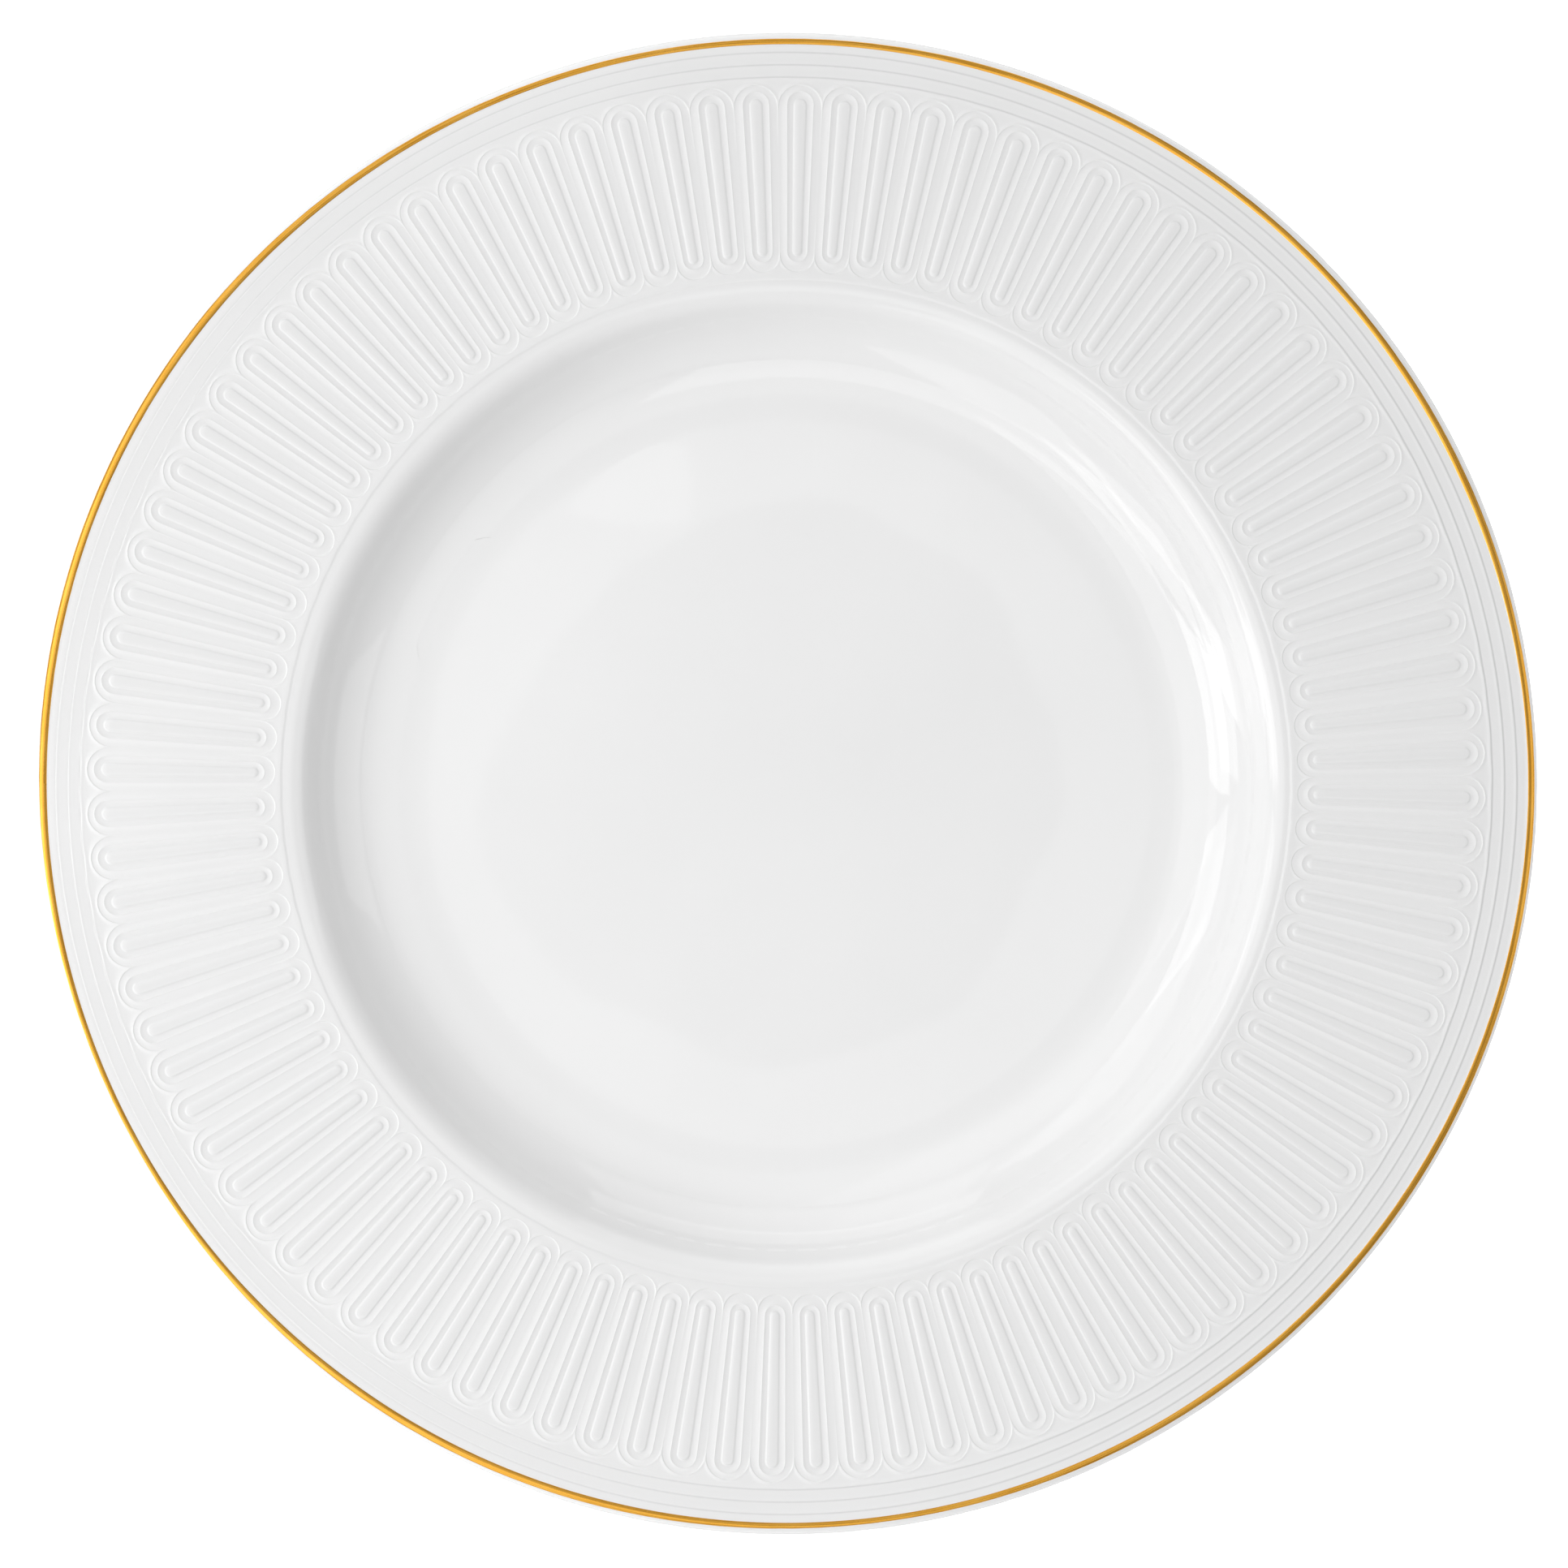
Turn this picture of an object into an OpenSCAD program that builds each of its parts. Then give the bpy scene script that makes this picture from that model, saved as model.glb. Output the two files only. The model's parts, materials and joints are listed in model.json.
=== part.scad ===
// China dinner plate with a fluted relief rim and a gilded lip.
// The parts follow the way such a plate is made: one fired porcelain body,
// the glaze fired over it, the separate glaze patch inside the foot ring,
// and the gold line painted on the lip.
// Origin: centre of the foot ring's tread, +Z up, millimetres.

/* [Plate] */
// Diameter across the lip
plate_d = 270; // [264:1:280]
// Upward slope of the rim, in degrees
rim_slope = 5; // [3:0.5:7]
// Radius of the rounded lip
lip_r = 1.6; // [1.4:0.1:1.8]
// How far the lip stands above the plane of the rim
lip_rise = 0.1; // [0.08:0.01:0.2]

/* [Well] */
// Diameter of the flat floor of the well
well_d = 132; // [128:1:134]
// Radius of the gentle curve where the floor begins to rise
cove_r = 46; // [44:1:48]
// Radius of the tighter curve up the well's wall
wall_curve = 15.4; // [15:0.1:15.8]
// Steepest angle of the well's wall, in degrees
wall_angle = 62; // [60:1:63]
// Radius of the shoulder between wall and rim
shoulder_r = 5; // [4.5:0.1:5.5]

/* [Foot] */
// Outer diameter of the foot ring at its tread
foot_d = 154; // [152:0.5:156]
// Width of the bare tread the plate stands on
tread_w = 2.4; // [2:0.1:3]
// Height of the recess inside the foot ring
foot_h = 4.2; // [3.6:0.1:5]
// Thickness of the floor, glaze included
base_t = 4; // [3.6:0.1:4.6]

/* [Relief] */
// Number of flutes round the rim
flutes = 96; // [90:1:98]
// Height of the rib inside each flute
rib_h = 0.22; // [0.15:0.01:0.3]
// Height of the three stepped reeds inside the lip
reed_h = 0.24; // [0.2:0.02:0.3]

/* [Coatings] */
// Thickness of the glaze
glaze_t = 0.3; // [0.25:0.05:0.4]
// Width of the gold line on the lip
gold_w = 1.2; // [0.8:0.1:1.4]
// Height of the gold above the glaze beside it
gold_rise = 0.05; // [0.04:0.01:0.08]

/* [Hidden] */

$fn = 96;

plate_r = plate_d / 2;
well_r = well_d / 2;
floor_z = foot_h + base_t;
cove_z = floor_z + cove_r;   // height of the gentle curve's centre
cove_turn = 12;              // slope at which the tighter curve takes over
curve_cr = well_r + (cove_r - wall_curve) * sin(cove_turn);
curve_cz = cove_z - (cove_r - wall_curve) * cos(cove_turn);
wall_r = curve_cr + wall_curve * sin(wall_angle); // where the wall meets the shoulder
wall_z = curve_cz - wall_curve * cos(wall_angle);
shoulder_cr = wall_r + shoulder_r * sin(wall_angle);
shoulder_cz = wall_z - shoulder_r * cos(wall_angle);
rim_r0 = shoulder_cr - shoulder_r * sin(rim_slope);
rim_z0 = shoulder_cz + shoulder_r * cos(rim_slope);

// Height of the plain rim at radius r, g below the glazed surface.
function rim_z(r, g = 0) = rim_z0 + (r - rim_r0) * tan(rim_slope) - g / cos(rim_slope);

// Lip: a round bead whose crown stands lip_rise above the rim.
lip_cr = plate_r - lip_r;
lip_cz = rim_z(lip_cr) + lip_rise - lip_r;
function lip_pt(a, r) = [lip_cr + r * sin(a), lip_cz + r * cos(a)];
lip_a0 = -23;            // where the lip's curve leaves the rim
back_slope = rim_slope + 2;
lip_a1 = 180 - back_slope;

// Relief radii, measured in from the lip or out from the well.
reeds = [plate_r - 8.4, plate_r - 6.2, plate_r - 4];
verge_r0 = rim_r0 + 0.9;
verge_r1 = verge_r0 + 1.15;
rib_r0 = verge_r0 + 4.2;   // inner end of a rib
rib_r1 = plate_r - 12;     // outer end of a rib

// Gold line: angles on the lip's curve.
gold_a0 = asin(-(gold_w / 2 - 0.05) / lip_r);
gold_a1 = asin((gold_w / 2 + 0.05) / lip_r);
gold_sink = 0.1;

function arc(cx, cz, r, a0, a1, n) =
    [for (i = [0:n]) let (a = a0 + (a1 - a0) * i / n) [cx + r * sin(a), cz + r * cos(a)]];

// Where two lines, each a point and a slope angle, cross.
function cross_pt(p, a, q, b) =
    let (ta = tan(a), tb = tan(b), x = (q[1] - p[1] + p[0] * ta - q[0] * tb) / (ta - tb))
    [x, p[1] + (x - p[0]) * ta];

function bezier(p, c, q, n) =
    [for (i = [1:n - 1]) let (t = i / n) (1 - t) * (1 - t) * p + 2 * t * (1 - t) * c + t * t * q];

// Face of the plate from the axis to the lip, g below the glazed surface.
function reed_pts(i, g) =
    let (c = reeds[i], s = i == 0 ? c - 0.95 : reeds[i - 1] + 0.25, h = i == 0 ? reed_h * 0.75 : reed_h)
    [[s, rim_z(s, g)], [c - 0.12, rim_z(c - 0.12, g) + h], [c + 0.05, rim_z(c + 0.05, g) + h - 0.02]];

function face_pts(g) = concat(
    [[0, floor_z - g]],
    arc(well_r, cove_z, cove_r + g, 180, 180 - cove_turn, 5),
    arc(curve_cr, curve_cz, wall_curve + g, 180 - cove_turn - 4, 180 - wall_angle, 11),
    arc(shoulder_cr, shoulder_cz, shoulder_r - g, -wall_angle + 5, -rim_slope, 9),
    [[verge_r0 - 0.15, rim_z(verge_r0 - 0.15, g)],
     [verge_r0 + 0.15, rim_z(verge_r0 + 0.15, g) + 0.15],
     [verge_r1 - 0.2, rim_z(verge_r1 - 0.2, g) + 0.15],
     [verge_r1 + 0.1, rim_z(verge_r1 + 0.1, g)]],
    reed_pts(0, g), reed_pts(1, g), reed_pts(2, g),
    [[reeds[2] + 0.25, rim_z(reeds[2] + 0.25, g) + 0.01],
     [reeds[2] + 0.8, rim_z(reeds[2] + 0.8, g) - 0.04]]);

function lip_top(g) = arc(lip_cr, lip_cz, lip_r - g, lip_a0, gold_a0, 3);
function lip_mid(g) = arc(lip_cr, lip_cz, lip_r - g, gold_a0, gold_a1, 6);
function lip_low(g) = arc(lip_cr, lip_cz, lip_r - g, gold_a1, lip_a1, 14);

// Back of the plate from the lip to the foot, g inside the glazed surface.
back_r = rim_r0 + 9;
back_z = lip_cz - lip_r / cos(back_slope) + (back_r - lip_cr) * tan(back_slope);
cove_a0 = 50;
cove_a1 = 29.5;
wall_lean = 82;   // slope of the foot ring's sides, from level
function back_line(g) = [back_r - g * sin(back_slope), back_z + g * cos(back_slope)];
function cove_under(a, g) =
    [curve_cr + (wall_curve + base_t - g) * sin(a), curve_cz - (wall_curve + base_t - g) * cos(a)];
foot_r = foot_d / 2;
foot_top = 4;
function foot_out(z, g) = [foot_r + 0.35 + (z - 0.5) / tan(wall_lean) - g, z];
function back_pts(g) =
    let (p = back_line(g), q = cove_under(cove_a0, g), r = cove_under(cove_a1, g), s = foot_out(foot_top, g))
    concat(
        [p], bezier(p, cross_pt(p, back_slope, q, cove_a0), q, 8), [q],
        [cove_under(cove_a0 - 7, g), cove_under(cove_a1 + 7, g), r],
        bezier(r, cross_pt(r, cove_a1, s, wall_lean), s, 8), [s]);

// Inside of the foot ring, from near the tread in to the axis.
inner_r = foot_r - tread_w;
function foot_in(z, g) = [inner_r - 0.35 - (z - 0.5) / tan(wall_lean) + g, z];
function base_pts(g) =
    let (s = foot_in(foot_h - 1.6, g), e = [inner_r - 3, foot_h + g], c = [foot_in(foot_h, g)[0], foot_h + g])
    concat([s], bezier(s, c, e, 6), [e, [0, foot_h + g]]);

glaze_end = 1;    // height at which the glaze stops above the tread

function reversed(v) = [for (i = [len(v) - 1:-1:0]) v[i]];

// One tapered, round-ended slot outline along +X, from circle to circle. Its
// straight sides start a hair inside the round ends, so they cross them cleanly.
side_inset = 0.994;
module slot_2d(r0, w0, r1, w1) {
    union() {
        translate([r0, 0]) circle(r = w0);
        translate([r1, 0]) circle(r = w1);
        polygon([[r0, -w0 * side_inset], [r1, -w1 * side_inset], [r1, w1 * side_inset], [r0, w0 * side_inset]]);
    }
}

flute_turn = -1.2;   // angle of the first flute from +X
module round_flutes() {
    for (i = [0:flutes - 1]) rotate([0, 0, flute_turn + i * 360 / flutes]) children();
}

// Half widths of a rib, growing outwards.
rib_w0 = 0.0078 * rib_r0 * 96 / flutes;
rib_w1 = 0.0086 * rib_r1 * 96 / flutes;

// Distances along the sloping rim of the centres of a rib's round ends.
k = cos(rim_slope);
end0 = (rib_r0 + rib_w0 - rim_r0) / k;
end1 = (rib_r1 - rib_w1 - rim_r0) / k;

// One raised rib lying along the sloping rim, rooted in the glaze.
module rib() {
    translate([rim_r0, 0, rim_z0]) rotate([0, -rim_slope, 0]) translate([0, 0, -0.15])
        linear_extrude(height = 0.15 + rib_h) slot_2d(end0, rib_w0, end1, rib_w1);
}

module biscuit_body() {
    color([0.93, 0.92, 0.89]) rotate_extrude() polygon(concat(
        face_pts(glaze_t), lip_top(glaze_t), lip_mid(glaze_t), lip_low(glaze_t), back_pts(glaze_t),
        [foot_out(glaze_end, glaze_t), foot_out(0.5, glaze_t),
         [foot_r - 0.05, 0.15], [foot_r - 0.25, 0], [inner_r + 0.25, 0], [inner_r + 0.05, 0.15],
         foot_in(0.5, glaze_t), foot_in(glaze_end, glaze_t)],
        base_pts(glaze_t)));
}

module glaze_coat() {
    color([0.96, 0.96, 0.96]) union() {
        rotate_extrude() polygon(concat(
            face_pts(0), lip_top(0), lip_mid(gold_sink), lip_low(0), back_pts(0), [foot_out(glaze_end, 0)],
            [foot_out(glaze_end, glaze_t)], reversed(back_pts(glaze_t)),
            reversed(lip_low(glaze_t)), reversed(lip_mid(glaze_t)), reversed(lip_top(glaze_t)),
            reversed(face_pts(glaze_t))));
        round_flutes() rib();
    }
}

module base_glaze() {
    color([0.96, 0.96, 0.96]) rotate_extrude() polygon(concat(
        [foot_in(glaze_end, 0)], base_pts(0), reversed(base_pts(glaze_t)), [foot_in(glaze_end, glaze_t)]));
}

module gold_band() {
    color([0.83, 0.62, 0.22]) rotate_extrude() polygon(concat(
        lip_mid(-gold_rise), reversed(lip_mid(gold_sink))));
}

biscuit_body();
glaze_coat();
base_glaze();
gold_band();
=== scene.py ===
"""A china dinner plate: white glazed porcelain with a fluted relief rim, stepped reeds and a gilded lip.

Every length below is in millimetres until a mesh is made, where it turns into metres.
The plate's own frame: origin at the centre of the foot ring's tread, +Z up.
"""

import json
from math import acos, asin, atan2, cos, hypot, pi, radians, sin, sqrt, tan

import bpy
import numpy as np
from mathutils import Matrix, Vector, noise

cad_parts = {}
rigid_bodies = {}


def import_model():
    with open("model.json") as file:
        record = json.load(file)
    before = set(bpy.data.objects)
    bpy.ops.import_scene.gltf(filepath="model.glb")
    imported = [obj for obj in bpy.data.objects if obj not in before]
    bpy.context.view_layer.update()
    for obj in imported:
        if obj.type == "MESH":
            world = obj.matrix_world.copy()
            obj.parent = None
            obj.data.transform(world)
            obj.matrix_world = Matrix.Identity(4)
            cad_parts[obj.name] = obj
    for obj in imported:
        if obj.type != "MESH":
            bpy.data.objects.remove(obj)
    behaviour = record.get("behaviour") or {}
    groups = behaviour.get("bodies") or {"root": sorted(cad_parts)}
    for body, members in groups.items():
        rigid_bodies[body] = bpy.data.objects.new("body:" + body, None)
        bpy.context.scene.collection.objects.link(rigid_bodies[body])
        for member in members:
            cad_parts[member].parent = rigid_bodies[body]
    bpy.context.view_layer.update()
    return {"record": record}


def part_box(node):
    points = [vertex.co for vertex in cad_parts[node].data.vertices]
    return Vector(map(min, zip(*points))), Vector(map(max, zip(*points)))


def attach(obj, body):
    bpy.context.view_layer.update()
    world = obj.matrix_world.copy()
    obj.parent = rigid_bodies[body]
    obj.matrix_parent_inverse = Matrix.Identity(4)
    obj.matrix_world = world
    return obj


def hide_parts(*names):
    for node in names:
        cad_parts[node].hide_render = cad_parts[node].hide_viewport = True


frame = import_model()

MM = 0.001

# ---------------------------------------------------------------- the plate's profile

R = float(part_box("glaze_coat")[1][0]) / MM
TOP = float(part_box("glaze_coat")[1][2]) / MM
FLOOR = [m for m in frame["record"]["mounts"] if m["name"] == "well_floor"][0]["pos_m"][2] / MM
TREAD_R = [m for m in frame["record"]["mounts"] if m["name"] == "tread"][0]["pos_m"][0] / MM
GLAZE_T = 0.3
BASE_T = 4.0
FOOT_H = FLOOR - BASE_T
SLOPE = radians(5)
LIP_R = 1.6
LIP_RISE = 0.1
WELL_R = 66.0
COVE_R = 46.0
CURVE_R = 15.4
COVE_TURN = radians(12)
WALL = radians(62)
SHOULDER = 5.0
BACK = SLOPE + radians(2)
FOOT_R = TREAD_R + 1.2
INNER_R = TREAD_R - 1.2
N = 96
TURN = radians(-1.2)
PITCH = 2 * pi / N
HALF = PITCH / 2

# The well's wall: a gentle curve off the floor, then a tighter one up to the shoulder.
cove_z = FLOOR + COVE_R
curve_cr = WELL_R + (COVE_R - CURVE_R) * sin(COVE_TURN)
curve_cz = cove_z - (COVE_R - CURVE_R) * cos(COVE_TURN)
wall_r = curve_cr + CURVE_R * sin(WALL)
wall_z = curve_cz - CURVE_R * cos(WALL)
sh_r = wall_r + SHOULDER * sin(WALL)
sh_z = wall_z - SHOULDER * cos(WALL)
rim_r0 = sh_r - SHOULDER * sin(SLOPE)
rim_z0 = sh_z + SHOULDER * cos(SLOPE)


def cove(a, g=0.0):
    """The point of the well's wall where it slopes by a, g below the glazed surface."""
    if a < COVE_TURN:
        return (WELL_R + (COVE_R + g) * sin(a), cove_z - (COVE_R + g) * cos(a))
    return (curve_cr + (CURVE_R + g) * sin(a), curve_cz - (CURVE_R + g) * cos(a))


def rim_z(r, g=0.0):
    return rim_z0 + (r - rim_r0) * tan(SLOPE) - g / cos(SLOPE)


lip_cr = R - LIP_R
lip_cz = TOP - LIP_R


def on_lip(a, r=LIP_R):
    """The lip's curve: a degrees from its crown, outwards and down."""
    return (lip_cr + r * sin(radians(a)), lip_cz + r * cos(radians(a)))


def cross(p, a, q, b):
    ta, tb = tan(a), tan(b)
    x = (q[1] - p[1] + p[0] * ta - q[0] * tb) / (ta - tb)
    return (x, p[1] + (x - p[0]) * ta)


def bezier(p, c, q, n):
    out = []
    for i in range(1, n):
        t = i / n
        out.append(tuple((1 - t) ** 2 * p[k] + 2 * t * (1 - t) * c[k] + t * t * q[k] for k in (0, 1)))
    return out


LEAN = radians(82)
back_r = rim_r0 + 9
back_z = lip_cz - LIP_R / cos(BACK) + (back_r - lip_cr) * tan(BACK)


def back_profile(g, n1=7, n2=6):
    """The back of the plate from under the lip to the foot ring, g inside the glaze."""

    def under(a):
        return (curve_cr + (CURVE_R + BASE_T - g) * sin(a), curve_cz - (CURVE_R + BASE_T - g) * cos(a))

    def foot(z):
        return (FOOT_R + 0.35 + (z - 0.5) / tan(LEAN) - g, z)

    p = (back_r - g * sin(BACK), back_z + g * cos(BACK))
    q, r, s = under(radians(50)), under(radians(29.5)), foot(4)
    return (
        [p] + bezier(p, cross(p, BACK, q, radians(50)), q, n1) + [q, under(radians(43)), under(radians(36.5)), r]
        + bezier(r, cross(r, radians(29.5), s, LEAN), s, n2) + [s, foot(2.4), foot(1.0)]
    )


def base_profile(g, n=6):
    """The inside of the foot ring, from near the tread in to the edge of the flat base."""

    def foot(z):
        return (INNER_R - 0.35 - (z - 0.5) / tan(LEAN) + g, z)

    s, e = foot(FOOT_H - 1.6), (INNER_R - 3, FOOT_H + g)
    return [foot(1.0), foot(1.8), s] + bezier(s, (foot(FOOT_H)[0], FOOT_H + g), e, n) + [e]


# ---------------------------------------------------------------- mesh helpers


def smooth(a, b, x):
    t = min(1.0, max(0.0, (x - a) / (b - a)))
    return t * t * (3 - 2 * t)


def make_object(name, verts, faces, material, slots=None):
    mesh = bpy.data.meshes.new(name)
    mesh.from_pydata([tuple(v) for v in verts], [], faces)
    mesh.validate()
    mesh.update()
    mesh.polygons.foreach_set("use_smooth", [True] * len(mesh.polygons))
    ob = bpy.data.objects.new(name, mesh)
    bpy.context.scene.collection.objects.link(ob)
    mesh.materials.append(material)
    return ob


def weld(points, faces, tol=0.004):
    """Merges points that lie within tol of each other, and drops what a face loses by it."""
    points = np.asarray(points, float)
    key = np.round(points / tol).astype(np.int64)
    order = {}
    remap = np.empty(len(points), np.int64)
    keep = []
    # A point near a cell's edge is looked for in the neighbouring cells too.
    near = [(i, j, k) for i in (0, -1, 1) for j in (0, -1, 1) for k in (0, -1, 1)]
    for n, c in enumerate(map(tuple, key)):
        hit = order.get(c)
        if hit is None:
            for d in near[1:]:
                h = order.get((c[0] + d[0], c[1] + d[1], c[2] + d[2]))
                if h is not None and np.abs(points[keep[h]] - points[n]).max() < tol:
                    hit = h
                    break
        if hit is None:
            hit = len(keep)
            keep.append(n)
            order[c] = hit
        remap[n] = hit
    out = []
    for f in faces:
        g = []
        for i in f:
            j = int(remap[i])
            if not g or g[-1] != j:
                g.append(j)
        if len(g) > 1 and g[0] == g[-1]:
            g.pop()
        if len(g) > 2:
            out.append(tuple(g))
    return points[keep], out


# ---------------------------------------------------------------- one flute's sector, centre to foot

NE = 12  # steps round each end of a flute
SIDE = (0.02, 0.34, 0.66, 0.98)  # points along each side
P = 2 * (NE + 1) + 2 * len(SIDE)


def slot_loop(c0, w0, c1, w1):
    """Points round a tapered slot with round ends, along +X: outer end, side, inner end, side."""
    b = asin((w1 - w0) / (c1 - c0))
    pts = []
    for j in range(NE + 1):
        a = -(pi / 2 + b) + (pi + 2 * b) * j / NE
        pts.append((c1 + w1 * cos(a), w1 * sin(a)))
    inner = []
    for j in range(NE + 1):
        a = (pi / 2 + b) + (pi - 2 * b) * j / NE
        inner.append((c0 + w0 * cos(a), w0 * sin(a)))
    p, q = pts[-1], inner[0]
    pts += [(p[0] + (q[0] - p[0]) * t, p[1] + (q[1] - p[1]) * t) for t in SIDE]
    pts += inner
    p, q = inner[-1], pts[0]
    pts += [(p[0] + (q[0] - p[0]) * t, p[1] + (q[1] - p[1]) * t) for t in SIDE]
    return pts


# Rib, thread and cell outlines: centres and half widths of their round ends.
RIB = (95.84, 0.74, 121.85, 1.05)
THREAD = (95.74, 1.84, 122.0, 2.40)
CELL = (95.1, 95.1 * sin(HALF), 121.62, 121.62 * sin(HALF))


def grown(base, d):
    return (base[0], base[1] + d, base[2], base[3] + d)


def scaled(base, k):
    return (base[0], base[1] * k, base[2], base[3] * k)


def between(a, b, t):
    return tuple(a[i] + (b[i] - a[i]) * t for i in range(4))


RIB_EDGE, RIB_DOME = 0.12, 0.042
SCALLOP = 0.09
# Each loop: outline, height on the sides, height round the ends.
LOOPS = [
    (scaled(RIB, 0.36), RIB_EDGE + RIB_DOME * 0.88, RIB_EDGE + RIB_DOME * 0.88),
    (scaled(RIB, 0.66), RIB_EDGE + RIB_DOME * 0.52, RIB_EDGE + RIB_DOME * 0.52),
    (grown(RIB, -0.19), RIB_EDGE + 0.002, RIB_EDGE + 0.002),
    (grown(RIB, -0.05), RIB_EDGE - 0.004, RIB_EDGE - 0.004),
    (grown(RIB, 0.09), 0.008, 0.008),
    (grown(RIB, 0.26), -0.006, -0.006),
    (grown(THREAD, -0.17), 0.0, 0.0),
    (grown(THREAD, -0.07), 0.052, 0.052),
    (grown(THREAD, 0.0), 0.064, 0.064),
    (grown(THREAD, 0.07), 0.04, 0.04),
    (grown(THREAD, 0.18), 0.0, 0.0),
    (grown(CELL, -0.24), 0.0, 0.0),
    (grown(CELL, -0.1), 0.0, 0.025),
    (grown(CELL, -0.03), 0.0, SCALLOP - 0.005),
    (CELL, 0.0, SCALLOP),
]

# Rings outside the outer scallops, and inside the inner ones, at the flutes' own columns.
R_OUT, R_IN = 126.05, 91.55
C_ROWS = [(126.35, 0.03), (126.58, 0.07), (126.68, 0.062), (126.8, -0.02), (127.1, -0.015)]
E_ROWS = [(91.2, 0.1), (91.0, 0.085), (90.84, 0.0)]
# The two outer reeds, the plain band inside the lip.
REED_ROWS = [
    (127.6, 0.0), (128.25, 0.0), (128.6, 0.03), (128.80, 0.06), (128.89, 0.054), (129.0, -0.022), (129.3, -0.016),
    (130.0, 0.0), (130.45, 0.0), (130.8, 0.03), (131.0, 0.06), (131.09, 0.054), (131.2, -0.022), (131.5, -0.014),
    (132.2, -0.002),
]
LIP_A = (-23, -16, -9, -2, 5, 12, 19, 27, 36, 47, 60, 74, 89, 105, 122, 140, 158, 173)


def spandrel_out(r, gap):
    """Height between the scallops and the first reed: high at the tips, sinking outwards."""
    tip = SCALLOP * (1 - smooth(121.6, 124.7, r)) - 0.02 * smooth(123.2, 124.9, r)
    return SCALLOP + (tip - SCALLOP) * smooth(0.0, 0.42, gap)


def spandrel_in(r, gap):
    verge = 0.1 - 0.075 * sin(pi * min(1, max(0, (r - R_IN) / (95.1 - R_IN)))) ** 1.2
    return SCALLOP + (verge - SCALLOP) * smooth(0.0, 0.42, gap)


pts, fcs = [], []  # the sector: (radius, angle, height, share of the floor's waves) and faces


def put(r, a, z, wave=0.0):
    pts.append((r, a, z, wave))
    return len(pts) - 1


def put_xy(x, y, h):
    r = hypot(x, y)
    return put(r, atan2(y, x), rim_z(r) + h)


def strip(a, b):
    """Faces between two rows of points, b inside or below a. A row of fewer points shares them out."""
    if len(a) == len(b):
        for i in range(len(a) - 1):
            fcs.append((a[i], a[i + 1], b[i + 1], b[i]))
        return
    many, few = (a, b) if len(a) > len(b) else (b, a)
    step = (len(many) - 1) / (len(few) - 1)
    for i in range(len(few) - 1):
        lo, hi = round(i * step), round((i + 1) * step)
        ring = [many[j] for j in range(lo, hi + 1)] + [few[i + 1], few[i]]
        fcs.append(tuple(ring if many is a else ring[::-1]))


# The flute's cell.
loops = []
ends = [1.0] * (NE + 1) + [0.12, 0, 0, 0.12] + [1.0] * (NE + 1) + [0.12, 0, 0, 0.12]
for e in (0, NE, NE + 5, 2 * NE + 5):
    ends[e] = 0.75
for outline, side, end in LOOPS:
    row = [put_xy(x, y, side + (end - side) * k) for (x, y), k in zip(slot_loop(*outline), ends)]
    loops.append(row)
for a, b in zip(loops, loops[1:]):
    for i in range(P):
        j = (i + 1) % P
        fcs.append((a[i], b[i], b[j], a[j]))
# The middle of the rib: a cap at each end and quads between the sides.
first = loops[0]
S = len(SIDE)
left = first[NE : NE + S + 2]
right = [first[0]] + first[-1 : -S - 1 : -1] + [first[2 * NE + 1 + S]]
spine = []
for i, j in zip(left, right):
    m = tuple((pts[i][k] + pts[j][k]) / 2 for k in (0, 1))
    spine.append(put(m[0], m[1], rim_z(m[0]) + RIB_EDGE + RIB_DOME))
for a, b in ((right, spine), (spine, left)):
    for i in range(len(a) - 1):
        fcs.append((a[i], b[i], b[i + 1], a[i + 1]))
for i in range(NE):
    fcs.append((spine[0], first[i], first[i + 1]))
inner_end = first[NE + 1 + S : 2 * NE + 2 + S]
for i in range(NE):
    fcs.append((spine[-1], inner_end[i], inner_end[i + 1]))

# Outside the outer scallop.
outer_arc = loops[-1][: NE + 1]
inner_arc = loops[-1][NE + 1 + S : 2 * NE + 2 + S][::-1]
prev = outer_arc
for t in (0.06, 0.2, 0.45, 0.72, 1.0):
    row = []
    for i in outer_arc:
        r0, a = pts[i][:2]
        r = r0 + (R_OUT - r0) * t
        # How far the point is from the nearest scallop.
        x, y = r * cos(a), r * sin(abs(a))
        gap = max(0.0, hypot(x - CELL[2], y) - CELL[3])
        h = spandrel_out(r, gap) if t < 1 else -0.008
        row.append(put(r, a, rim_z(r) + h))
    strip(row, prev)
    prev = row
columns = [pts[i][1] for i in prev]
for r, h in C_ROWS:
    # The first reed follows the scallops very slightly.
    row = [put(r + 0.13 * (0.5 - 0.5 * cos(2 * pi * a / PITCH)) - 0.05, a, rim_z(r) + h) for a in columns]
    strip(row, prev)
    prev = row
few = [columns[0], columns[4], columns[8], columns[12]]
for r, h in REED_ROWS:
    row = [put(r, a, rim_z(r) + h) for a in few]
    strip(row, prev)
    prev = row
for a_lip in LIP_A:
    r, z = on_lip(a_lip)
    row = [put(r, a, z) for a in few]
    strip(row, prev)
    prev = row
back = back_profile(0)
for r, z in [(r, lip_cz - LIP_R / cos(BACK) + (r - lip_cr) * tan(BACK)) for r in (122.0, 110.0)] + back:
    row = [put(r, a, z) for a in few]
    strip(row, prev)
    prev = row
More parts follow.
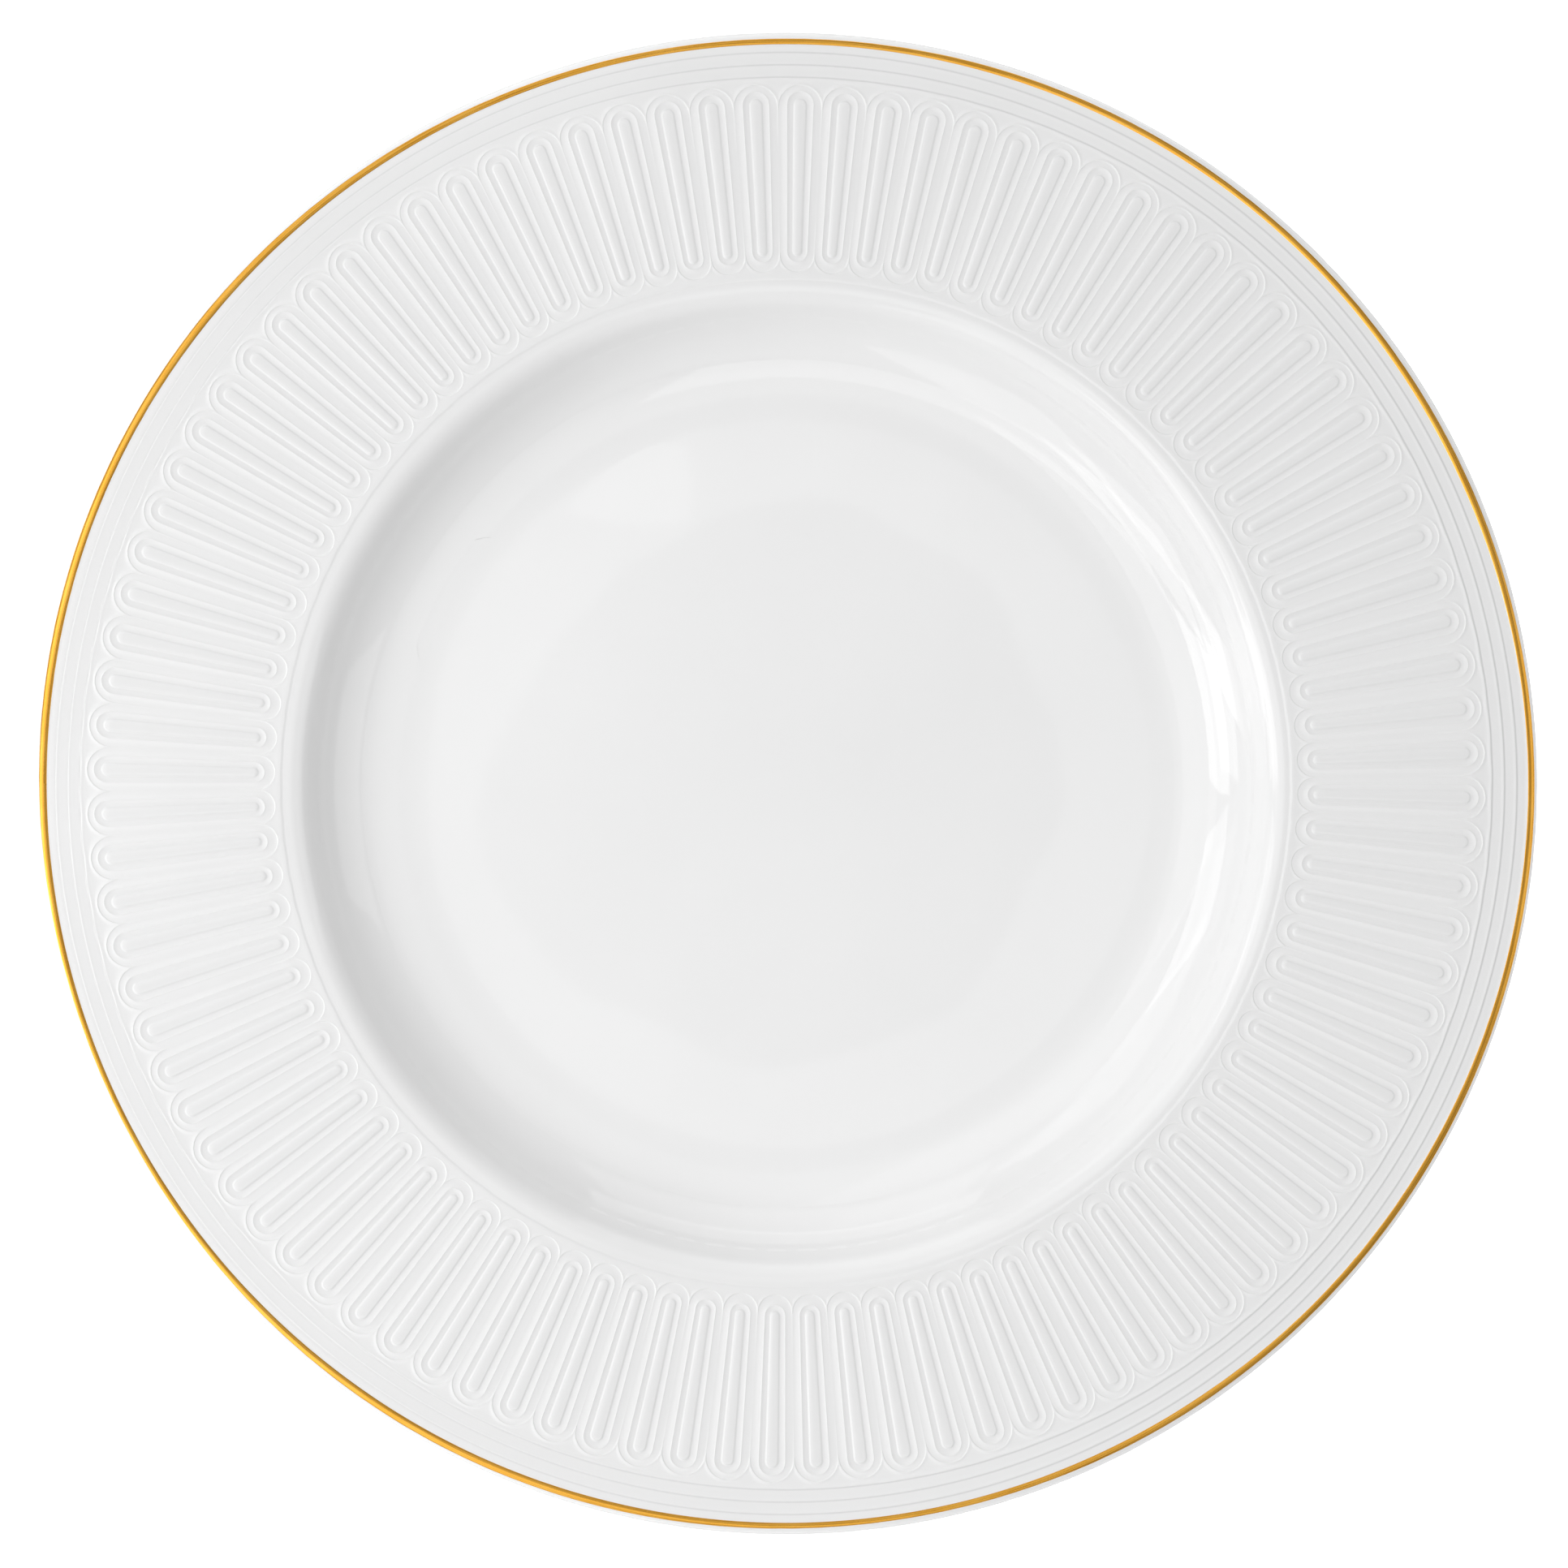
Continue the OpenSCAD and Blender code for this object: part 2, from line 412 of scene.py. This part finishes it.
# The glaze's hidden face, which lies on the body.
hidden = back_profile(GLAZE_T, 4, 3)[::-1]
hidden += [on_lip(a, LIP_R - GLAZE_T) for a in (173, 135, 100, 65, 30, 0, -23)]
hidden += [(r, rim_z(r, GLAZE_T)) for r in (126.0, 108.0)]
hidden += [(sh_r - (SHOULDER - GLAZE_T) * sin(a), sh_z + (SHOULDER - GLAZE_T) * cos(a)) for a in (SLOPE, radians(33), WALL)]
hidden += [cove(a, GLAZE_T) for a in (radians(40), COVE_TURN, 0)]
hidden += [(30.0, FLOOR - GLAZE_T), (0.0, FLOOR - GLAZE_T)]
for r, z in hidden:
    row = [put(r, a, z) for a in (columns[0], columns[-1])]
    strip(row, prev)
    prev = row

# Inside the inner scallop: the verge, the shoulder, the cove and the floor.
prev = inner_arc
for t in (0.06, 0.22, 0.5, 0.78, 1.0):
    row = []
    for i in inner_arc:
        r0, a = pts[i][:2]
        r = r0 + (R_IN - r0) * t
        x, y = r * cos(a), r * sin(abs(a))
        gap = max(0.0, hypot(x - CELL[0], y) - CELL[1])
        row.append(put(r, a, rim_z(r) + (spandrel_in(r, gap) if t < 1 else 0.1)))
    strip(prev, row)
    prev = row
columns = [pts[i][1] for i in prev]
for r, h in E_ROWS:
    row = [put(r + 0.05 * cos(2 * pi * a / PITCH), a, rim_z(r) + h) for a in columns]
    strip(prev, row)
    prev = row
few = [columns[0], columns[4], columns[8], columns[12]]
rows = [(90.55, rim_z(90.55)), (90.0, rim_z(90.0))]
for i in range(9):
    a = SLOPE + (WALL - SLOPE) * i / 8
    rows.append((sh_r - SHOULDER * sin(a), sh_z + SHOULDER * cos(a)))
rows += [cove(radians(a)) for a in (57, 52, 47, 42, 37, 32, 27, 22, 17, 12, 9.6, 7.2, 4.8, 2.4, 0)]
for r in (64, 62, 59.5, 57, 54, 51, 48, 44.5, 41, 37, 33, 29, 24):
    rows.append((r, FLOOR))
for r, z in rows:
    row = [put(r, a, z, 1.0) for a in few]
    strip(prev, row)
    prev = row
for r in (19.0, 14.0, 9.0, 4.5, 0.0):
    row = [put(r, a, FLOOR, 1.0) for a in (columns[0], columns[-1])]
    strip(prev, row)
    prev = row

# ---------------------------------------------------------------- the whole glaze


def undulation(x, y):
    """The fired glaze's slow waves, in mm. They fade out at the wall."""
    r = hypot(x, y)
    slow = noise.noise(Vector((x / 42 + 3.1, y / 42 - 1.7, 0.4))) * 0.12
    fast = noise.noise(Vector((x / 17 + 9.0, y / 17 + 4.0, 2.2))) * 0.02
    return (slow + fast) * (1 - smooth(66, 84, r))


sector = np.array(pts)
verts = []
for n in range(N):
    a = sector[:, 1] + TURN + n * PITCH
    verts.append(np.stack([sector[:, 0] * np.cos(a), sector[:, 0] * np.sin(a), sector[:, 2], sector[:, 3]], 1))
verts = np.concatenate(verts)
faces = [tuple(i + n * len(sector) for i in f) for n in range(N) for f in fcs]
verts, faces = weld(verts, faces)
for i in np.where(verts[:, 3] > 0)[0]:
    verts[i, 2] += undulation(verts[i, 0], verts[i, 1])


# ---------------------------------------------------------------- materials


class Nodes:
    """A material's node tree, with short ways to add to it."""

    def __init__(self, name):
        self.material = bpy.data.materials.new(name)
        self.material.use_nodes = True
        self.tree = self.material.node_tree
        self.tree.nodes.clear()
        self.shader = self.tree.nodes.new("ShaderNodeBsdfPrincipled")
        out = self.tree.nodes.new("ShaderNodeOutputMaterial")
        self.link(self.shader.outputs["BSDF"], out.inputs["Surface"])
        self.place = self.tree.nodes.new("ShaderNodeTexCoord").outputs["Object"]

    def link(self, a, b):
        self.tree.links.new(a, b)

    def noise(self, scale, detail=2.0, rough=0.5, vector=None):
        n = self.tree.nodes.new("ShaderNodeTexNoise")
        n.inputs["Scale"].default_value = scale
        n.inputs["Detail"].default_value = detail
        n.inputs["Roughness"].default_value = rough
        self.link(vector or self.place, n.inputs["Vector"])
        return n.outputs["Fac"]

    def ramp(self, value, *stops):
        n = self.tree.nodes.new("ShaderNodeValToRGB")
        e = n.color_ramp.elements
        while len(e) < len(stops):
            e.new(0.5)
        for i, (at, colour) in enumerate(stops):
            e[i].position = at
            e[i].color = (*colour, 1.0) if len(colour) == 3 else (colour[0],) * 3 + (1.0,)
        self.link(value, n.inputs["Fac"])
        return n.outputs["Color"]

    def range(self, value, a, b, c, d):
        n = self.tree.nodes.new("ShaderNodeMapRange")
        n.inputs["From Min"].default_value, n.inputs["From Max"].default_value = a, b
        n.inputs["To Min"].default_value, n.inputs["To Max"].default_value = c, d
        self.link(value, n.inputs["Value"])
        return n.outputs["Result"]

    def math(self, op, a, b=None):
        n = self.tree.nodes.new("ShaderNodeMath")
        n.operation = op
        for i, v in enumerate((a, b)):
            if isinstance(v, (int, float)):
                n.inputs[i].default_value = v
            elif v is not None:
                self.link(v, n.inputs[i])
        return n.outputs[0]

    def polar(self):
        """Radius and angle round the plate's axis, in metres and radians, and the height."""
        n = self.tree.nodes.new("ShaderNodeSeparateXYZ")
        self.link(self.place, n.inputs[0])
        x, y, z = n.outputs
        r = self.math("SQRT", self.math("ADD", self.math("MULTIPLY", x, x), self.math("MULTIPLY", y, y)))
        return r, self.math("ARCTAN2", y, x), z

    def bump(self, height, strength, distance, normal=None):
        n = self.tree.nodes.new("ShaderNodeBump")
        n.inputs["Strength"].default_value = strength
        n.inputs["Distance"].default_value = distance
        self.link(height, n.inputs["Height"])
        if normal:
            self.link(normal, n.inputs["Normal"])
        return n.outputs["Normal"]

    def set(self, **values):
        for name, v in values.items():
            socket = self.shader.inputs[name.replace("_", " ")]
            if isinstance(v, (int, float, tuple)):
                socket.default_value = v
            else:
                self.link(v, socket)


def porcelain_glaze(name, satin_and_painted_shade):
    m = Nodes(name)
    tone = m.range(m.noise(22.0, 3.0, 0.55), 0.3, 0.7, 0.854, 0.874)
    uneven = m.noise(260.0, 2.0)
    # The face's glaze: a satin rim, and painted shade on the rim, the lip's edge and the reeds.
    if satin_and_painted_shade:
        r, a, z = m.polar()
        # Painted shade: the rim from its shoulder outwards is painted about 5% darker, the lip's edge darker still,
        # and a darker band is painted in the foot of each reed on the face.
        tone = m.math("MULTIPLY", tone, m.range(r, 0.087, 0.091, 1.0, 0.952))
        # Painted shade: the lip's last half millimetre is painted 40% darker.
        tone = m.math("MULTIPLY", tone, m.range(r, 0.1345, 0.1349, 1.0, 0.6))
        # Painted shade: a band 14% darker is painted at the foot of each of the three reeds, on the face only.
        reed_shade_stops = []
        for at in (126.82, 129.02, 131.22):
            x = (at - 125.5) / 6.5
            reed_shade_stops += [(x - 0.022, (0.0,)), (x - 0.006, (0.14,)), (x + 0.01, (0.14,)), (x + 0.04, (0.0,))]
        reed_shade = m.ramp(m.range(r, 0.1255, 0.132, 0.0, 1.0), *reed_shade_stops)
        reed_shade = m.math("MULTIPLY", reed_shade, m.range(z, 0.0212, 0.0216, 0.0, 1.0))
        tone = m.math("MULTIPLY", tone, m.math("SUBTRACT", 1.0, reed_shade))
        # Painted shade: the face inside each flute's thread is painted 2% darker.
        turn = m.math("FRACT", m.math("ADD", m.math("MULTIPLY", a, N / (2 * pi)), N + 0.5 - TURN / PITCH))
        inside = m.range(m.math("ABSOLUTE", m.math("SUBTRACT", turn, 0.5)), 0.245, 0.285, 1.0, 0.0)
        along = m.math("MULTIPLY", m.range(r, 0.0936, 0.0952, 0.0, 1.0), m.range(r, 0.1228, 0.1242, 1.0, 0.0))
        on_face = m.math("MULTIPLY", along, m.range(z, 0.0194, 0.0197, 0.0, 1.0))
        flute_shade = m.math("MULTIPLY", m.math("MULTIPLY", inside, on_face), 0.02)
        tone = m.math("MULTIPLY", tone, m.math("SUBTRACT", 1.0, flute_shade))
        rough = m.math("ADD", m.range(r, 0.087, 0.091, 0.014, 0.17), m.range(uneven, 0.3, 0.7, -0.006, 0.006))
    else:
        rough = m.range(uneven, 0.3, 0.7, 0.06, 0.09)
    m.set(Base_Color=tone, Roughness=rough, IOR=1.5, Metallic=0.0)
    skin = m.bump(m.noise(160.0, 1.0), 0.25, 0.000006)
    m.set(Normal=m.bump(m.noise(2600.0, 2.0, 0.6), 0.12, 0.000002, skin))
    return m.material


def gilding():
    m = Nodes("burnished_gold")
    r, a, z = m.polar()
    along = m.tree.nodes.new("ShaderNodeCombineXYZ")
    m.link(m.math("MULTIPLY", a, 9.0), along.inputs[0])
    m.link(m.math("MULTIPLY", r, 9000.0), along.inputs[1])
    m.link(m.math("MULTIPLY", z, 5000.0), along.inputs[2])
    strokes = m.noise(1.0, 3.0, 0.6, along.outputs[0])
    patches = m.noise(120.0, 2.0)
    mix = m.math("ADD", m.math("MULTIPLY", strokes, 0.6), m.math("MULTIPLY", patches, 0.4))
    m.set(
        Base_Color=m.ramp(mix, (0.3, (0.68, 0.325, 0.035)), (0.55, (0.78, 0.40, 0.06)), (0.75, (0.84, 0.48, 0.10))),
        Metallic=1.0,
        Roughness=m.range(strokes, 0.3, 0.7, 0.2, 0.36),
        Normal=m.bump(strokes, 0.35, 0.00002),
    )
    return m.material


def bare_biscuit():
    m = Nodes("bare_biscuit")
    grain = m.noise(1500.0, 4.0, 0.65)
    stain = m.noise(60.0, 3.0)
    both = m.math("ADD", m.math("MULTIPLY", grain, 0.35), m.math("MULTIPLY", stain, 0.65))
    m.set(
        Base_Color=m.ramp(both, (0.32, (0.60, 0.575, 0.53)), (0.5, (0.74, 0.72, 0.68)), (0.7, (0.80, 0.785, 0.755))),
        Roughness=m.range(grain, 0.3, 0.7, 0.62, 0.82),
        IOR=1.45,
        Normal=m.bump(grain, 0.5, 0.00006),
    )
    return m.material


glaze_look = porcelain_glaze("porcelain_glaze", True)
base_look = porcelain_glaze("porcelain_base_glaze", False)
gold_look = gilding()
biscuit_look = bare_biscuit()

# ---------------------------------------------------------------- pieces

glaze = make_object("glaze_face_and_back", verts[:, :3] * MM, faces, glaze_look)
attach(glaze, "root")
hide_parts("glaze_coat")


def revolve(profile, steps, closed=True, wobble=None):
    """A closed ring swept round the axis from a profile of (radius, height) or of functions of the angle."""
    v, f = [], []
    n = len(profile(0.0) if callable(profile) else profile)
    for i in range(steps):
        a = 2 * pi * i / steps
        for r, z in profile(a) if callable(profile) else profile:
            v.append((r * cos(a), r * sin(a), z))
    for i in range(steps):
        j = (i + 1) % steps
        for k in range(n if closed else n - 1):
            m = (k + 1) % n
            f.append((i * n + k, j * n + k, j * n + m, i * n + m))
    return weld(v, f)


under = base_profile(0)
under += [(60.0, FOOT_H), (45.0, FOOT_H), (25.0, FOOT_H), (0.0, FOOT_H)]
hide = base_profile(GLAZE_T, 4) + [(40.0, FOOT_H + GLAZE_T), (0.0, FOOT_H + GLAZE_T)]
v, f = revolve(under + hide[::-1], 192)
base = make_object("glaze_under_base", v * MM, f, base_look)
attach(base, "root")
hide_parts("base_glaze")


def gold_edges(a):
    """Where the painted line lies at angle a: the hand-drawn line wanders a little on the lip."""
    inner = 132.56 + 0.18 * cos(a) - 0.06 * sin(a) + 0.3 * cos(2 * a + 0.58) + 0.11 * cos(3 * a - 0.41) - 0.2 * sin(4 * a)
    outer = 133.99 + 0.04 * cos(a) - 0.03 * sin(a) + 0.23 * cos(2 * a + 0.5) + 0.11 * cos(3 * a - 0.53) - 0.17 * sin(4 * a)
    inner += 0.11 * sin(5 * a) + 0.07 * cos(6 * a) + 0.06 * sin(6 * a)
    outer += 0.07 * sin(5 * a) + 0.05 * cos(6 * a)
    fine_in = 0.03 * noise.noise(Vector((cos(a) * 60, sin(a) * 60, 5.0)))
    fine_out = 0.03 * noise.noise(Vector((cos(a) * 60, sin(a) * 60, 8.0)))
    return inner + fine_in, outer + fine_out


def gold_section(a):
    lo, hi = gold_edges(a)
    a0 = np.degrees(asin(max(-0.9, (lo - lip_cr) / LIP_R)))
    a1 = np.degrees(asin(min(0.9, (hi - lip_cr) / LIP_R)))
    # The coat thins to nothing at its edges and sinks a hair into the glaze.
    coat = (-0.012, 0.012, 0.026, 0.034, 0.036, 0.036, 0.034, 0.026, 0.012, -0.012)
    n = len(coat)
    face = []
    for i, rise in enumerate(coat):
        t = i / (n - 1)
        t = 0.5 - 0.5 * cos(pi * t) if 0 < i < n - 1 else t
        face.append(on_lip(a0 + (a1 - a0) * t, LIP_R + rise))
    hidden = [on_lip(a0 + (a1 - a0) * t, LIP_R - 0.07) for t in (0.97, 0.66, 0.33, 0.03)]
    return face + hidden


v, f = revolve(gold_section, 768)
gold = make_object("gold_line", v * MM, f, gold_look)
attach(gold, "root")
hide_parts("gold_band")

# The fired body stays as the CAD made it: only its bare tread shows.
for name in ("biscuit_body",):
    for ob in bpy.data.objects:
        if ob.type == "MESH" and ob.name.split(".")[0] == name:
            ob.data.materials.clear()
            ob.data.materials.append(biscuit_look)

# ---------------------------------------------------------------- floor, light and camera


def floor_plane():
    m = Nodes("white_table")
    m.set(
        Base_Color=m.ramp(m.noise(6.0), (0.3, (0.93, 0.93, 0.93)), (0.7, (0.95, 0.95, 0.95))),
        Roughness=0.6,
        Emission_Color=(1.0, 1.0, 1.0, 1.0),
        Emission_Strength=0.9,
    )
    mesh = bpy.data.meshes.new("floor")
    mesh.from_pydata([(-4, -4, 0), (4, -4, 0), (4, 4, 0), (-4, 4, 0)], [], [(0, 1, 2, 3)])
    ob = bpy.data.objects.new("floor", mesh)
    bpy.context.scene.collection.objects.link(ob)
    mesh.materials.append(m.material)
    return ob


floor_plane()


def area(name, azimuth, elevation, distance, width, height, power, aim=(0, 0, 0.015)):
    """A soft panel that looks at the plate. Azimuth runs anticlockwise from +X, seen from above."""
    data = bpy.data.lights.new(name, "AREA")
    data.shape = "RECTANGLE"
    data.size, data.size_y = width, height
    data.energy = power
    ob = bpy.data.objects.new(name, data)
    bpy.context.scene.collection.objects.link(ob)
    a, e = radians(azimuth), radians(elevation)
    ob.location = Vector(aim) + distance * Vector((cos(e) * cos(a), cos(e) * sin(a), sin(e)))
    ob.rotation_euler = (Vector(aim) - ob.location).to_track_quat("-Z", "Z").to_euler()
    return ob


def panel(name, azimuth, elevation, distance, width, height, bright):
    """An area light given by how bright its face is, as the camera would see it."""
    area(name, azimuth, elevation, distance, width, height, bright * pi * width * height)


# A soft key round the left, in leaves that meet and grow brighter towards the front left.
panel("key_1", 115, 38, 0.8, 0.36, 0.42, 0.28)
panel("key_2", 140, 38, 0.8, 0.36, 0.42, 0.8)
panel("key_3_high", 165, 44.3, 0.8, 0.36, 0.21, 1.6)
panel("key_3_low", 165, 30, 0.8, 0.36, 0.21, 0.45)
panel("key_4_high", 190, 44.3, 0.8, 0.36, 0.21, 2.1)
panel("key_4_low", 190, 30, 0.8, 0.36, 0.21, 1.6)
panel("key_5_high", 215, 44.3, 0.8, 0.36, 0.21, 1.45)
panel("key_5_low", 215, 30, 0.8, 0.36, 0.21, 1.25)
panel("key_6", 240, 38, 0.8, 0.36, 0.42, 0.95)
panel("low", 197, 22, 0.8, 0.34, 0.18, 1.5)
panel("low_edge", 193, 10, 0.8, 0.5, 0.16, 1.2)
# Dimmer leaves above the key, then fill from the back, the front and the right.
panel("high_1", 140, 65, 0.8, 0.5, 0.3, 0.58)
panel("high_2", 190, 65, 0.8, 0.5, 0.3, 0.85)
panel("high_3", 240, 65, 0.8, 0.5, 0.3, 1.0)
panel("top", 90, 90, 1.235, 0.8, 0.8, 0.24)
panel("back_fill", 90, 35, 1.2, 0.9, 0.7, 0.68)
panel("back_low", 90, 12, 1.2, 1.1, 0.5, 1.15)
panel("front_fill", 270, 35, 1.2, 0.9, 0.7, 0.32)
panel("front_low", 270, 12, 1.2, 1.1, 0.5, 0.3)
panel("right_fill", 0, 35, 1.2, 0.7, 0.6, 0.86)

world = bpy.data.worlds.new("studio")
bpy.context.scene.world = world
world.use_nodes = True
world.node_tree.nodes["Background"].inputs["Color"].default_value = (1, 1, 1, 1)
world.node_tree.nodes["Background"].inputs["Strength"].default_value = 0.381

camera = bpy.data.objects.new("camera", bpy.data.cameras.new("camera"))
bpy.context.scene.collection.objects.link(camera)
bpy.context.scene.camera = camera
camera.data.lens = 150
camera.data.sensor_width = 36
camera.data.clip_end = 20
# The lip's outer edge, R wide at the lip's height, fills 925.5 / 966 of the half frame.
PIXEL = 2 * R * MM / (2 * 925.5)
reach = 150 / 36 * 1932 * PIXEL
camera.location = (-2.6 * PIXEL, -0.6 * PIXEL, reach + lip_cz * MM)
bpy.context.scene.view_settings.view_transform = "Standard"


def camera_body():
    """The dark front of the camera itself, round the lens, which the flat of the well mirrors faintly."""
    m = Nodes("camera_front")
    m.set(Base_Color=m.ramp(m.noise(40.0), (0.3, (0.015, 0.015, 0.015)), (0.7, (0.03, 0.03, 0.03))), Roughness=0.6)
    v, f = revolve([(0.0, 0.0), (102.0, 0.0)], 48, closed=False)
    v = v * MM + np.array([[0.0, 0.0, camera.location.z + 0.02]])
    ob = make_object("camera_front", v, f, m.material)
    ob.visible_camera = False
    ob.visible_shadow = False
    return ob


camera_body()
